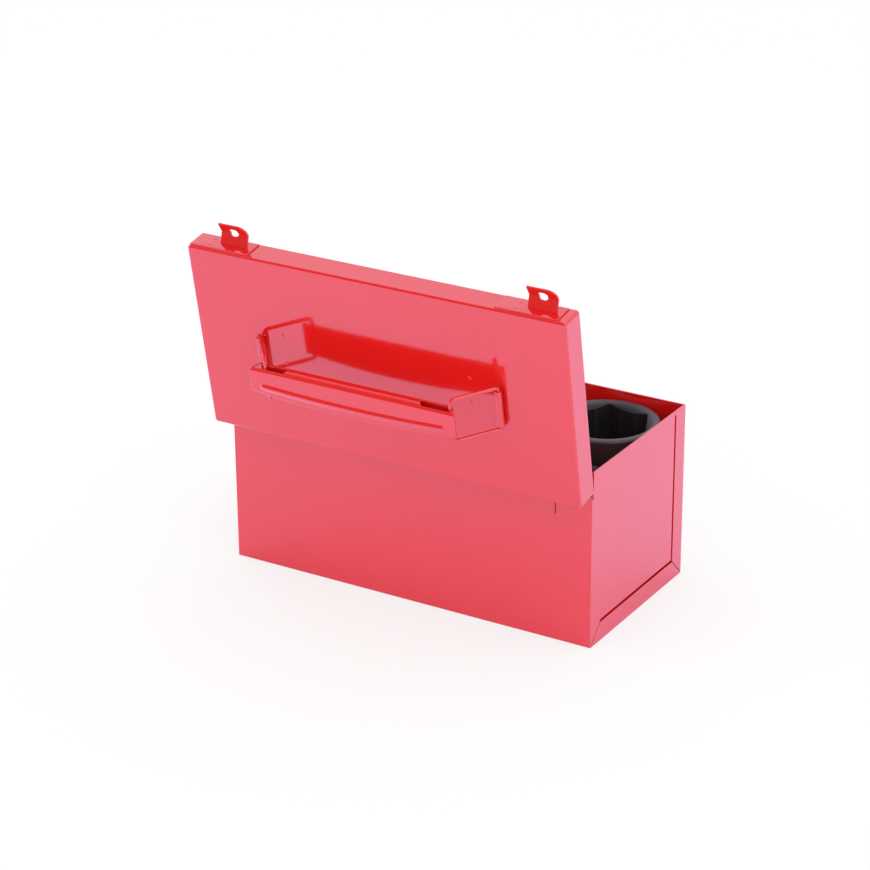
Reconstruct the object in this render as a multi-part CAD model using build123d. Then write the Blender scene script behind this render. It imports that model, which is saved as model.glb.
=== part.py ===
from build123d import *
import math
import os

# Socket case: a folded sheet-metal box with a leaning cap lid, a fold-down handle, two draw latches and
# six loose impact sockets. Millimetres. The origin is the middle of the underside, +Z is up, -Y is the
# latch side and +Y is the hinge side. The lid is built open, as it stands against its stop.

# case
CASE_LENGTH = 310.0
CASE_WIDTH = 146.5
CASE_HEIGHT = 140.0
SHEET = 1.2
FLANGE = 15.0
FLANGE_GAP = 0.7
MITRE_GAP = 0.7
CORNER_NOTCH = 1.95

# hinge
HINGE_HEIGHT = 123.0
PIN_RADIUS = 1.5
PIN_FIT = 0.05
EYE = PIN_RADIUS + PIN_FIT
KNUCKLE = EYE + SHEET
KNUCKLE_GAP = 0.5
KNUCKLE_REACH = 153.0
END_KNUCKLE = 28.0
RELIEF_SLIT = 18.0
SLIT_WIDTH = 0.8

# lid
LID_LENGTH = 314.4
LID_WIDTH = 151.5
LID_DEPTH = 20.0
LID_BEND = 2.0
LEAN = 10.0
HINGE_Y = CASE_WIDTH / 2 + EYE

# handle
HANDLE_MID = 73.5
WIRE = 1.5
BARREL_SPAN = 100.5
BARREL_AXIS = 3.6
BARREL_SHEET = 1.0
BARREL_LENGTH = 28.4
RING_LENGTH = 36.0
RING_WIDTH = 34.0
RING_BEND_INNER = 2.6
RING_BEND_OUTER = 4.0
RAISED = 50.0
LIFT = RING_LENGTH * math.sin(math.radians(RAISED))
GRIP_HALF = 84.0
GRIP_TOP = 10.5
GRIP_BOTTOM = 12.5
GRIP_BELLY = 18.0
GRIP_SHEET = 1.0
GRIP_FACE = 9.9
GRIP_EDGE = 0.5
SLOT_INNER = 57.0
SLOT_OUTER = 79.3
SLOT_LOW = 1.8
SLOT_HIGH = 6.9

# keepers and latches
KEEPER_SPAN = 128.0
EAR_OFFSET = 5.5
EAR_WIDTH = 23.0
LATCH_Z = 97.0
LATCH_OUT = 8.75
LATCH_WALL = -CASE_WIDTH / 2
LATCH_Y = LATCH_WALL - LATCH_OUT
LEVER_FRONT = LATCH_Y - 4.2
EAR_SIDE = 10.5
EAR_SHEET = 1.2
LEVER_HALF = EAR_SIDE - 0.5
PLATE_LOW = LATCH_Z - 31.0
PLATE_HIGH = LATCH_Z + 8.0
BAIL_DROP = 9.0
BAIL_INSET = 2.7
BAIL_Z = LATCH_Z - BAIL_DROP
BAIL_Y = LATCH_Y + BAIL_INSET
BAIL_WIRE = 1.25
BAIL_LENGTH = 44.0
BAIL_HALF = 14.5

# sockets: outside diameter, height, width across the flats, distance from the case's -X end, distance
# from the long wall it stands by, and that wall's side
SOCKETS = {
    "socket_large": (82.0, 133.0, 60.0, 3.0, 2.75, -1),
    "socket_second": (76.0, 126.0, 55.0, 86.5, 2.25, -1),
    "socket_third": (70.0, 120.0, 50.0, 164.0, 2.25, -1),
    "socket_fourth": (64.0, 114.0, 46.0, 235.5, 2.25, -1),
    "socket_fifth": (58.0, 116.0, 41.0, 3.5, 2.25, 1),
    "socket_sixth": (55.0, 104.0, 38.0, 63.5, 2.25, 1),
}
DRIVE_SQUARE = 25.4
DRIVE_DEPTH = 28.0
SOCKET_GROOVE = 1.2

LID_PLANE = Plane(
    origin=(
        0,
        HINGE_Y + LID_DEPTH * math.cos(math.radians(LEAN)) + EYE * math.sin(math.radians(LEAN)),
        HINGE_HEIGHT - LID_DEPTH * math.sin(math.radians(LEAN)) + EYE * math.cos(math.radians(LEAN)),
    ),
    x_dir=(-1, 0, 0),
    z_dir=(0, math.cos(math.radians(LEAN)), -math.sin(math.radians(LEAN))),
)


def block(x, y, z):
    """A box between the two ends given for each axis."""
    size = [b - a for a, b in (x, y, z)]
    middle = [(a + b) / 2 for a, b in (x, y, z)]
    return Pos(*middle) * Box(*size)


def one(shape):
    """The largest solid of a result, as a plain solid."""
    return max(shape.solids(), key=lambda s: s.volume)


def rod(start, end, radius):
    """A straight round rod between two points."""
    path = Edge.make_line(start, end)
    return sweep(Plane(origin=start, z_dir=path % 0) * Circle(radius), path)


def along_x(profile, low, high):
    """A YZ outline, given as points, extruded from low to high along X."""
    face = Plane.YZ * make_face(Polyline(*profile, close=True))
    return Pos(low, 0, 0) * extrude(face, high - low)


def segments():
    """The hinge's spans from -X to +X, each with who owns it."""
    inner = KNUCKLE_REACH - END_KNUCKLE
    step = 2 * inner / 5
    spans = [("case", -KNUCKLE_REACH, -inner)]
    for i in range(5):
        owner = "lid" if i % 2 == 0 else "case"
        spans.append((owner, -inner + i * step, -inner + (i + 1) * step))
    spans.append(("case", inner, KNUCKLE_REACH))
    half = KNUCKLE_GAP / 2
    return [(owner, low + half, high - half) for owner, low, high in spans]


def case_knuckle(low, high):
    """One rolled eye of the case wall with the strip that carries it."""
    y, z = HINGE_Y, HINGE_HEIGHT
    ends = (Align.CENTER, Align.CENTER, Align.MIN)
    eye = Pos(low, y, z) * Rot(0, 90, 0) * Cylinder(KNUCKLE, high - low, align=ends)
    wall = CASE_WIDTH / 2
    strip = block((low, high), (wall - SHEET, wall), (z - KNUCKLE - 1.5, z))
    hole = Pos(low - 1, y, z) * Rot(0, 90, 0) * Cylinder(EYE, high - low + 2, align=ends)
    return eye + strip - hole


def end_flange():
    """The +X end flange of the wrap: three strips with open mitres at the two lower corners."""
    half, top = CASE_WIDTH / 2, CASE_HEIGHT
    low, high = CASE_LENGTH / 2 - SHEET, CASE_LENGTH / 2
    notch = HINGE_HEIGHT - KNUCKLE - KNUCKLE_GAP - 1.0
    frame = along_x([(-half, 0), (half, 0), (half, notch), (half - CORNER_NOTCH, notch),
                     (half - CORNER_NOTCH, top), (half - FLANGE, top), (half - FLANGE, FLANGE),
                     (FLANGE - half, FLANGE), (FLANGE - half, top), (-half, top)], low, high)
    for side in (-1, 1):
        slit = Rot(-45 * side, 0, 0) * block((low - 1, high + 1), (-MITRE_GAP / 2, MITRE_GAP / 2), (1.6, 40))
        frame -= Pos(0, side * (half - 0.2), 0.2) * Rot(90 * side, 0, 0) * slit
    return frame


def case_wrap():
    """Bottom, latch wall and hinge wall in one folded sheet, with end flanges and the case's hinge eyes."""
    half, end = CASE_WIDTH / 2, CASE_LENGTH / 2
    wall_top = HINGE_HEIGHT - KNUCKLE - KNUCKLE_GAP
    span = (-end, end)
    body = block(span, (-half, half), (0, SHEET))
    body += block(span, (-half, SHEET - half), (0, CASE_HEIGHT))
    body += block(span, (half - SHEET, half), (0, wall_top))
    flange = end_flange()
    body += flange
    body += mirror(flange, about=Plane.YZ)
    body = one(body)
    folds = [e for e in body.edges().filter_by(Axis.X)
             if abs(abs(e.center().Y) - half) < 0.01 and abs(e.center().Z) < 0.01 and e.length > 200]
    body = fillet(folds, SHEET * 0.95)
    owned = [(low, high) for owner, low, high in segments() if owner == "case"]
    for low, high in owned:
        body += case_knuckle(low, high)
    for x in (KNUCKLE_REACH - END_KNUCKLE, END_KNUCKLE - KNUCKLE_REACH):
        body -= block((x - SLIT_WIDTH / 2, x + SLIT_WIDTH / 2), (half - 3, half + 1),
                      (wall_top - RELIEF_SLIT, wall_top + 1))
    return one(body)


def end_panel():
    """The +X end wall: a field flush with the flanges and a joggled margin that laps behind them."""
    half, end, gap = CASE_WIDTH / 2, CASE_LENGTH / 2, FLANGE_GAP
    field = block((end - SHEET, end), (FLANGE - half + gap, half - FLANGE - gap), (FLANGE + gap, CASE_HEIGHT))
    inner = half - SHEET - 0.1
    margin = block((end - 2 * SHEET, end - SHEET), (-inner, inner), (SHEET, CASE_HEIGHT))
    notch = HINGE_HEIGHT - KNUCKLE - KNUCKLE_GAP - 1.0
    margin -= block((end - 5, end), (half - CORNER_NOTCH, half), (notch, CASE_HEIGHT + 1))
    margin -= block((end - 5, end), (FLANGE - half + gap + SHEET, half - FLANGE - gap - SHEET),
                    (FLANGE + gap + SHEET, CASE_HEIGHT + 1))
    return one(field + margin)


def hinge_pin():
    """The pin through every eye, with its ends peened over slightly."""
    reach = KNUCKLE_REACH + 0.1
    pin = rod((-reach, HINGE_Y, HINGE_HEIGHT), (reach, HINGE_Y, HINGE_HEIGHT), PIN_RADIUS)
    for side in (-1, 1):
        pin += Pos(side * (reach + 0.25), HINGE_Y, HINGE_HEIGHT) * Rot(0, 90, 0) * Cylinder(PIN_RADIUS + 0.5, 0.6)
    return one(pin)


def lid_shell():
    """The cap lid in its own frame: x along it, y up from the hinge edge, z out of its face."""
    half = LID_LENGTH / 2
    outer = block((-half, half), (0, LID_WIDTH), (-LID_DEPTH, 0))
    outer = fillet(outer.edges().filter_by(Axis.Z), LID_BEND + 0.4)
    outer = fillet(outer.faces().sort_by(Axis.Z)[-1].edges(), LID_BEND)
    inner = block((SHEET - half, half - SHEET), (SHEET, LID_WIDTH - SHEET), (-LID_DEPTH - 1, -SHEET))
    inner = fillet(inner.edges().filter_by(Axis.Z), LID_BEND - SHEET + 0.4)
    inner = fillet(inner.faces().sort_by(Axis.Z)[-1].edges(), LID_BEND - SHEET)
    lid = outer - inner
    edge = KNUCKLE + KNUCKLE_GAP - LID_DEPTH
    reach = half - LID_BEND - SHEET
    lid -= block((-reach, reach), (-1, SHEET + 0.6), (-LID_DEPTH - 1, edge))
    for owner, low, high in segments():
        if owner == "lid":
            lid += block((low, high), (0, SHEET), (-LID_DEPTH, edge + 0.5))
            eye = Pos(low, -EYE, -LID_DEPTH) * Rot(0, 90, 0)
            ends = (Align.CENTER, Align.CENTER, Align.MIN)
            lid += eye * Cylinder(KNUCKLE, high - low, align=ends)
            lid -= Pos(-1, 0, 0) * eye * Cylinder(EYE, high - low + 2, align=ends)
    for side in (-1, 1):
        inside = BARREL_SPAN - EYE - BARREL_SHEET
        ends = sorted((side * (inside - 0.35), side * (inside + BARREL_SHEET + 0.35)))
        lid -= block(ends, (HANDLE_MID - 15.0, HANDLE_MID + 15.0), (-3, 1))
    return one(lid)


def handle_plate():
    """A plate behind the face whose edge comes out through a slot and rolls round the +x ring's wire."""
    half = BARREL_LENGTH / 2
    x = BARREL_SPAN
    span = (HANDLE_MID - half, HANDLE_MID + half)
    inside = x - EYE - BARREL_SHEET
    barrel = Pos(x, HANDLE_MID, BARREL_AXIS) * Rot(90, 0, 0) * Cylinder(EYE + BARREL_SHEET, BARREL_LENGTH)
    leaf = block((inside, inside + BARREL_SHEET), span, (-SHEET - BARREL_SHEET, BARREL_AXIS))
    back = block((inside - 29.0, inside + BARREL_SHEET), span, (-SHEET - BARREL_SHEET, -SHEET))
    hole = Pos(x, HANDLE_MID, BARREL_AXIS) * Rot(90, 0, 0) * Cylinder(EYE, BARREL_LENGTH + 2)
    plate = one(barrel + leaf + back - hole)
    corners = [e for e in plate.edges().filter_by(Axis.Z) if e.center().X < inside - 28]
    return fillet(corners, 3.0)


def handle_ring():
    """A closed wire ring from the +x barrel's axis to the bar in the grip, raised at its rest angle."""
    half, length = RING_WIDTH / 2, RING_LENGTH
    inner, outer = RING_BEND_INNER, RING_BEND_OUTER
    corner = 1 - math.sqrt(0.5)
    path = Wire([
        Edge.make_line((0, inner - half, 0), (0, half - inner, 0)),
        Edge.make_three_point_arc((0, half - inner, 0), (-inner * corner, half - inner * corner, 0),
                                  (-inner, half, 0)),
        Edge.make_line((-inner, half, 0), (outer - length, half, 0)),
        Edge.make_three_point_arc((outer - length, half, 0),
                                  (outer * corner - length, half - outer * corner, 0), (-length, half - outer, 0)),
        Edge.make_line((-length, half - outer, 0), (-length, outer - half, 0)),
        Edge.make_three_point_arc((-length, outer - half, 0),
                                  (outer * corner - length, outer * corner - half, 0), (outer - length, -half, 0)),
        Edge.make_line((outer - length, -half, 0), (-inner, -half, 0)),
        Edge.make_three_point_arc((-inner, -half, 0), (-inner * corner, inner * corner - half, 0),
                                  (0, inner - half, 0)),
    ])
    start = Plane(origin=(0, inner - half, 0), z_dir=(0, 1, 0))
    ring = sweep(start * Circle(WIRE), path)
    return one(Pos(BARREL_SPAN, HANDLE_MID, BARREL_AXIS) * Rot(0, RAISED, 0) * ring)


def grip_outline(trim, reach):
    """The grip's plan: straight upper edge and bellied lower edge, drawn in by trim."""
    low_end, low_mid = trim - GRIP_BOTTOM, trim - GRIP_BELLY
    high = GRIP_TOP - trim
    belly = ThreePointArc((-reach, low_end), (0, low_mid), (reach, low_end))
    rest = Polyline((reach, low_end), (reach, high), (-reach, high), (-reach, low_end))
    return make_face([belly, rest])


def grip():
    """The stamped channel grip, raised: face, two slotted flanges and a bead pressed along the face."""
    solid = Pos(0, 0, GRIP_EDGE) * extrude(grip_outline(0, GRIP_HALF), GRIP_FACE - GRIP_EDGE)
    top = solid.faces().sort_by(Axis.Z)[-1]
    solid = fillet([e for e in top.edges() if e.length > 50], 2.2)
    hollow = extrude(grip_outline(GRIP_SHEET, GRIP_HALF), GRIP_FACE - GRIP_SHEET)
    hollow = fillet([e for e in hollow.faces().sort_by(Axis.Z)[-1].edges() if e.length > 50], 1.2)
    solid -= hollow
    for end in (-1, 1):
        notch = sorted((end * (GRIP_HALF - 0.5), end * (GRIP_HALF + 1)))
        solid -= block(notch, (GRIP_SHEET - GRIP_BOTTOM, GRIP_TOP - GRIP_SHEET), (-1, GRIP_FACE - GRIP_SHEET - 1.2))
        slot = sorted((end * SLOT_INNER, end * SLOT_OUTER))
        solid -= block(slot, (-25, 25), (SLOT_LOW, SLOT_HIGH))
    bead = Pos(0, -2.0, GRIP_FACE - 2 * GRIP_SHEET) * extrude(SlotOverall(152.0, 8.0), GRIP_SHEET)
    press = Pos(0, -2.0, GRIP_FACE - GRIP_SHEET) * extrude(SlotOverall(150.0, 6.0), GRIP_SHEET + 1)
    solid = solid + bead - press
    return one(Pos(0, HANDLE_MID, LIFT) * solid)


def keeper():
    """A keeper in the lid's frame: a base on the front flange and a hooked ear with a hole at its bend."""
    v = LID_WIDTH
    base = block((-19.5, 19.5), (v, v + SHEET), (-19.0, -2.0))
    base = fillet(base.edges().filter_by(Axis.Y), 1.5)
    low, bend, tip = (v + 0.4, -10.0), (v + 9.5, -13.9), (v + 17.4, -10.5)
    x = EAR_OFFSET - EAR_WIDTH / 2
    ear = along_x(hook_outline((low, bend, tip), SHEET / 2), x, x + EAR_WIDTH)
    hole = Pos(EAR_OFFSET, v + 9.3, -12) * extrude(SlotOverall(9.6, 7.0, rotation=90), 20, both=True)
    shape = one(base + ear - hole)
    tip_edges = [e for e in shape.edges() if e.center().Y > v + 16.5 and e.length < 2]
    return fillet([e for e in tip_edges if e.center().X > x + EAR_WIDTH - 1], 4.0)


def hook_outline(points, half):
    """A strip of constant thickness about a two-part centre line, as outline points."""
    (a, b, c) = [Vector(0, *p) for p in points]
    d1, d2 = (b - a).normalized(), (c - b).normalized()
    n1, n2 = Vector(0, -d1.Z, d1.Y), Vector(0, -d2.Z, d2.Y)
    mid = (n1 + n2).normalized()
    scale = half / (mid.dot(n1))
    pts = [a + n1 * half, b + mid * scale, c + n2 * half, c - n2 * half, b - mid * scale, a - n1 * half]
    return [(p.Y, p.Z) for p in pts]


def latch_base():
    """The latch's plate on the wall, with two ears that carry the lever's pin."""
    plate = block((-15, 15), (LATCH_WALL - SHEET, LATCH_WALL), (PLATE_LOW, PLATE_HIGH))
    plate = fillet(plate.edges().filter_by(Axis.Y), 2.0)
    for side in (-1, 1):
        ends = sorted((side * EAR_SIDE, side * (EAR_SIDE + EAR_SHEET)))
        ear = block(ends, (LEVER_FRONT, LATCH_WALL - 0.2), (LATCH_Z - 5.5, LATCH_Z + 5.5))
        outer = [e for e in ear.edges().filter_by(Axis.X) if e.center().Y < LATCH_Y]
        ear = fillet(outer, 3.0)
        plate += ear
    hole = Pos(0, LATCH_Y, LATCH_Z) * Rot(0, 90, 0) * Cylinder(EYE, 40)
    return one(plate - hole)


def latch_pin():
    """The lever's pivot pin with a small head at each end."""
    reach = EAR_SIDE + EAR_SHEET + 0.5
    pin = rod((-reach, LATCH_Y, LATCH_Z), (reach, LATCH_Y, LATCH_Z), PIN_RADIUS)
    for side in (-1, 1):
        pin += Pos(side * (reach + 0.05), LATCH_Y, LATCH_Z) * Rot(0, 90, 0) * Cylinder(PIN_RADIUS + 0.5, 0.7)
    return one(pin)


def from_latch_pin(points):
    """Places given from the latch pin's axis, outwards negative, as places in the case's YZ plane."""
    return [(LATCH_Y + y, LATCH_Z + z) for y, z in points]


def latch_lever():
    """The channel lever, hanging closed: front plate, two side flanges and a thumb lip."""
    side_view = from_latch_pin([(-4.2, 4.5), (2.5, 4.5), (5.7, -5), (5.7, -12.5), (1.5, -16), (-3.0, -31),
                                (-3.0, -35), (-8.5, -40.5), (-9.4, -39.7), (-4.2, -34.4)])
    lever = along_x(side_view, -LEVER_HALF, LEVER_HALF)
    front = [e for e in lever.edges().filter_by(Axis.X)
             if e.center().Z > LATCH_Z + 4 and e.center().Y < LATCH_Y - 4]
    lever = fillet(front, 2.5)
    inside = LEVER_HALF - SHEET
    lever -= along_x(from_latch_pin([(-3.0, 3.3), (12, 3.3), (12, -37), (-3.0, -37)]), -inside, inside)
    lever -= along_x(from_latch_pin([(-1.5, 2), (12, 2), (12, 13), (-1.5, 13)]), -inside, inside)
    for y, z, r in ((LATCH_Y, LATCH_Z, EYE), (BAIL_Y, BAIL_Z, BAIL_WIRE + PIN_FIT)):
        lever -= Pos(0, y, z) * Rot(0, 90, 0) * Cylinder(r, 40)
    return one(lever)


def latch_bail():
    """The wire bail hanging from the lever, its two ends turned in through the lever's flanges."""
    x, y, top, low, r = BAIL_HALF, BAIL_Y, BAIL_Z, BAIL_Z - BAIL_LENGTH, 2.0
    corner = r * (1 - math.sqrt(0.5))
    path = Wire([
        Edge.make_line((8.2, y, top), (x - r, y, top)),
        Edge.make_three_point_arc((x - r, y, top), (x - corner, y, top - corner), (x, y, top - r)),
        Edge.make_line((x, y, top - r), (x, y, low + r)),
        Edge.make_three_point_arc((x, y, low + r), (x - corner, y, low + corner), (x - r, y, low)),
        Edge.make_line((x - r, y, low), (r - x, y, low)),
        Edge.make_three_point_arc((r - x, y, low), (corner - x, y, low + corner), (-x, y, low + r)),
        Edge.make_line((-x, y, low + r), (-x, y, top - r)),
        Edge.make_three_point_arc((-x, y, top - r), (corner - x, y, top - corner), (r - x, y, top)),
        Edge.make_line((r - x, y, top), (-8.2, y, top)),
    ])
    start = Plane(origin=(8.2, y, top), z_dir=(1, 0, 0))
    return one(sweep(start * Circle(BAIL_WIRE), path))


def rivet(y_axis_start):
    """A domed rivet head on the latch plate, standing out towards -Y."""
    dome = Cylinder(2.6, 1.0, align=(Align.CENTER, Align.CENTER, Align.MIN))
    dome = fillet(dome.edges().sort_by(Axis.Z)[-1], 0.8)
    return Pos(0, y_axis_start, 0) * Rot(90, 0, 0) * dome


def latch_rivets():
    """The rivet heads of both latch plates and both keepers, as one group of separate solids."""
    face = -CASE_WIDTH / 2 - SHEET
    heads = []
    for x in latch_places():
        for z in (PLATE_LOW + 4.5, LATCH_Z + 1.0):
            heads.append(Pos(x, 0, z) * rivet(face))
    return Compound(children=[one(h) for h in heads])


def latch_places():
    """The middle of each latch along X, under its keeper's ear."""
    return [KEEPER_SPAN - EAR_OFFSET, -KEEPER_SPAN - EAR_OFFSET]


def keeper_rivets():
    """Two rivet heads on each keeper's base, beside its ear, in the lid's frame."""
    heads = []
    for x in (-KEEPER_SPAN, KEEPER_SPAN):
        for along in (-13.5, -9.5):
            head = Rot(0, 0, 180) * rivet(-LID_WIDTH - SHEET)
            out = -14.5 if along == -13.5 else -6.5
            heads.append(Pos(x - 13.0, 0, out) * head)
    return Compound(children=[one(h) for h in heads])


def socket(diameter, height, flats):
    """An impact socket, mouth up: turned body, hexagon bore, through passage and square drive."""
    r = diameter / 2
    neck = max(r * 0.8, 25.5)
    profile = [(0, 0), (neck - 1.5, 0), (neck, 1.5), (neck, height * 0.36), (r, height * 0.44),
               (r, height - 2.0), (r - 2.0, height), (0, height)]
    body = revolve(Plane.XZ * make_face(Polyline(*profile, close=True)), Axis.Z)
    hexagon = RegularPolygon(flats / 2, 6, major_radius=False)
    depth = height * 0.52
    body -= Pos(0, 0, height - depth) * extrude(hexagon, depth + 1)
    lead = Cone(flats / 2 * 1.02, flats / math.sqrt(3) + 1.2, 4.0, align=(Align.CENTER, Align.CENTER, Align.MAX))
    body -= Pos(0, 0, height + 0.01) * lead
    body -= Cylinder(13.5, height, align=(Align.CENTER, Align.CENTER, Align.MIN))
    body += socket_drive(neck)
    ring = Pos(0, 0, DRIVE_DEPTH / 2) * (Cylinder(neck + 1, 3.4) - Cylinder(neck - SOCKET_GROOVE, 5))
    body -= ring
    body -= Pos(0, 0, DRIVE_DEPTH / 2) * Rot(0, 90, 0) * Cylinder(2.4, 2 * neck + 4)
    return one(body)


def socket_drive(neck):
    """The square drive's collar that fills the passage's foot around the square."""
    collar = Cylinder(neck - 3.0, DRIVE_DEPTH, align=(Align.CENTER, Align.CENTER, Align.MIN))
    square = extrude(Rectangle(DRIVE_SQUARE, DRIVE_SQUARE), DRIVE_DEPTH + 1)
    return collar - square


def save(name, shape):
    """Write one node."""
    shape.label = name
    export_step(shape, f"parts/{name}.step")


def main():
    """Build every node in place and write it."""
    os.makedirs("parts", exist_ok=True)
    lid_frame = LID_PLANE.location
    panel = end_panel()
    plate = handle_plate()
    ring = handle_ring()
    save("case_wrap", case_wrap())
    save("end_panel_right", panel)
    save("end_panel_left", mirror(panel, about=Plane.YZ))
    save("hinge_pin", hinge_pin())
    save("lid", lid_frame * lid_shell())
    save("handle_plate_left", lid_frame * plate)
    save("handle_plate_right", lid_frame * mirror(plate, about=Plane.YZ))
    save("handle_ring_left", lid_frame * ring)
    save("handle_ring_right", lid_frame * mirror(ring, about=Plane.YZ))
    save("handle_grip", lid_frame * grip())
    hook = keeper()
    save("keeper_right", lid_frame * Pos(-KEEPER_SPAN, 0, 0) * hook)
    save("keeper_left", lid_frame * Pos(KEEPER_SPAN, 0, 0) * hook)
    save("keeper_rivets", lid_frame * keeper_rivets())
    for side, x in zip(("right", "left"), latch_places()):
        save(f"latch_base_{side}", Pos(x, 0, 0) * latch_base())
        save(f"latch_pin_{side}", Pos(x, 0, 0) * latch_pin())
        save(f"latch_lever_{side}", Pos(x, 0, 0) * latch_lever())
        save(f"latch_bail_{side}", Pos(x, 0, 0) * latch_bail())
    save("latch_rivets", latch_rivets())
    for name, (diameter, height, flats, from_end, from_wall, side) in SOCKETS.items():
        x = from_end + diameter / 2 - CASE_LENGTH / 2
        y = side * (CASE_WIDTH / 2 - from_wall - diameter / 2)
        save(name, Pos(x, y, SHEET) * socket(diameter, height, flats))


main()
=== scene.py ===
"""Looks for the red socket case: enamel, phosphated sockets, wire rings, studio and camera.

Lengths are metres. Lid coordinates run along the hinge, up from the hinge edge and out of the face.
"""

import math

import bpy
import numpy as np
from mathutils import Matrix, Vector


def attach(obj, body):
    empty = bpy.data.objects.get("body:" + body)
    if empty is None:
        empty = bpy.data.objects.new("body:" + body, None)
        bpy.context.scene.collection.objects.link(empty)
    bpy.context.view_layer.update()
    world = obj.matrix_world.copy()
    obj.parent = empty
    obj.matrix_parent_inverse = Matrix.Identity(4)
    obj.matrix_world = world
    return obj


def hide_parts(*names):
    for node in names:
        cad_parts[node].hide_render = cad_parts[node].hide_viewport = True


bl_info = {
    "name": "Socket Case Finish",
    "version": (1, 0, 0),
    "blender": (4, 5, 0),
    "location": "View3D > Sidebar > Socket Case",
    "description": "Dresses the socket case with enamel, black sockets, wire rings and a studio",
    "category": "Object",
}

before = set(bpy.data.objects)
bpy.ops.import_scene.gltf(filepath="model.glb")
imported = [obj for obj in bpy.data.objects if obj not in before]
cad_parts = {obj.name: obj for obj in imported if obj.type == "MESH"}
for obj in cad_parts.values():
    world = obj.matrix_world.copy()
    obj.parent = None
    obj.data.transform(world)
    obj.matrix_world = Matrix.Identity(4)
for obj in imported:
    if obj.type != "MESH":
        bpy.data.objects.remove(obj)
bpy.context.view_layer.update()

RED_NODES = (
    "case_wrap", "end_panel_left", "end_panel_right", "lid", "handle_plate_left", "handle_plate_right",
    "handle_grip", "keeper_left", "keeper_right", "latch_base_left", "latch_base_right",
    "latch_lever_left", "latch_lever_right", "latch_rivets", "keeper_rivets", "handle_ring_left",
    "handle_ring_right", "latch_bail_left", "latch_bail_right",
)
STEEL_NODES = ("hinge_pin", "latch_pin_left", "latch_pin_right")

# Case. HINGE is the pin's axis, y and z.
CASE_LENGTH = 0.310
CASE_WIDTH = 0.1465
CASE_HEIGHT = 0.140
SHEET = 0.0012
HINGE = (0.0748, 0.123)
FLANGE = 0.015

# Lid, leaning past upright
LEAN = math.radians(10.0)
LID_DEPTH = 0.020
LID_WIDTH = 0.1515
HINGE_EYE = 0.00155
LID_ORIGIN = np.array([
    0.0,
    HINGE[0] + LID_DEPTH * math.cos(LEAN) + HINGE_EYE * math.sin(LEAN),
    HINGE[1] - LID_DEPTH * math.sin(LEAN) + HINGE_EYE * math.cos(LEAN),
])
LID_AXES = np.array([
    [-1.0, 0.0, 0.0],
    [0.0, math.sin(LEAN), math.cos(LEAN)],
    [0.0, math.cos(LEAN), -math.sin(LEAN)],
])

# End walls: an open seam beside the flanges, stopping short of the rim. EYE_NOTCH and SLIT_DEPTHS are
# measured down from the hinge's axis.
SEAM = 0.0025
SEAM_STOP = 0.003
WALL_CLEARANCE = 0.0001
SEAM_WELD = 0.0002
EYE_NOTCH = 0.0045
SLIT_X = 0.125
SLIT_HALF = 0.0004
SLIT_DEPTHS = (0.02125, 0.00325)
BOX_FACES = np.array([[0, 1, 3, 2], [4, 6, 7, 5], [0, 4, 5, 1], [2, 3, 7, 6], [0, 2, 6, 4], [1, 5, 7, 3]])

# Handle: wire rings raised off the lid, and the stamped grip between them. Heights on the grip are from
# its middle and from the rings' ends.
RAISED = math.radians(50.0)
HANDLE_MID = 0.0735
BARREL_SPAN = 0.1005
BARREL_AXIS = 0.0036
RING_WIDTH = 0.034
RING_LENGTH = 0.036
RING_BEND_INNER = 0.0026
RING_BEND_OUTER = 0.004
GRIP_HALF = 0.08725
GRIP_SHIFT = -0.00325
GRIP_LIFT = RING_LENGTH * math.sin(RAISED)
GRIP_TOP = 0.0105
GRIP_BOTTOM = 0.0125
GRIP_SAG = 0.0055
GRIP_FOLD = 0.0038
GRIP_ROLL = 0.0070
GRIP_FACE = 0.0082
GRIP_EDGE = 0.0005
GRIP_SHEET = 0.001
GRIP_BEAD = 0.0017
GRIP_BEAD_WIDTH = 0.0023
GRIP_BEAD_REACH = 0.081
GRIP_BEAD_EASE = 0.007
GRIP_CREST = -0.0040
GRIP_CREST_SAG = 0.0030
GRIP_SLANT = 0.7
GRIP_SLOT = (0.0595, 0.0862)
GRIP_SLOT_DEPTH = (0.0019, 0.0064)
GRIP_SLOT_TOP = 0.0034
GRIP_SLOT_BOTTOM = 0.0024

# Keepers: a plate on the lid's flange, given by its corners in lid coordinates from the keeper's middle, and
# a hooked ear, whose foot, bend and tip are (distance beyond the lid's edge, distance out of its face)
KEEPER_SPAN = 0.128
PLATE_LOW = (-0.0275, LID_WIDTH, -0.0190)
PLATE_HIGH = (0.0222, LID_WIDTH + SHEET, -0.0020)
PLATE_EDGE = 0.0004
EAR_FOOT = (0.0004, -0.0100)
EAR_BEND = (0.0095, -0.0139)
EAR_TIP = (0.0174, -0.0105)
EAR_SOFTNESS = 0.0001
EAR_OFFSET = 0.0061
EAR_HALF = 0.0115
EAR_TALL = 0.0184
EAR_CORNER = 0.0066
EAR_HOLE = 0.0036
EAR_HOLE_UP = 0.0112

# Spot welds: in lid coordinates on its face, and set back from each keeper's middle on its plate. A mark's
# steps are (share of its radius, rise).
MARK_STEPS = ((0.0, -0.0001), (1.0, -0.0001), (1.0, 0.00002), (0.9, 0.00022), (0.7, 0.00042), (0.45, 0.00034),
              (0.2, 0.00030), (0.0, 0.00028))
LID_SPOTS = {
    "left": ((0.0756, 0.0906, 0.0), (0.0750, 0.0708, 0.0)),
    "right": ((-0.0820, 0.0910, 0.0), (-0.0820, 0.0680, 0.0)),
}
KEEPER_SPOT_SETBACK = 0.013
KEEPER_SPOT_DEPTHS = (-0.0145, -0.0065)
KEEPER_SPOT_RISE = 0.6

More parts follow.
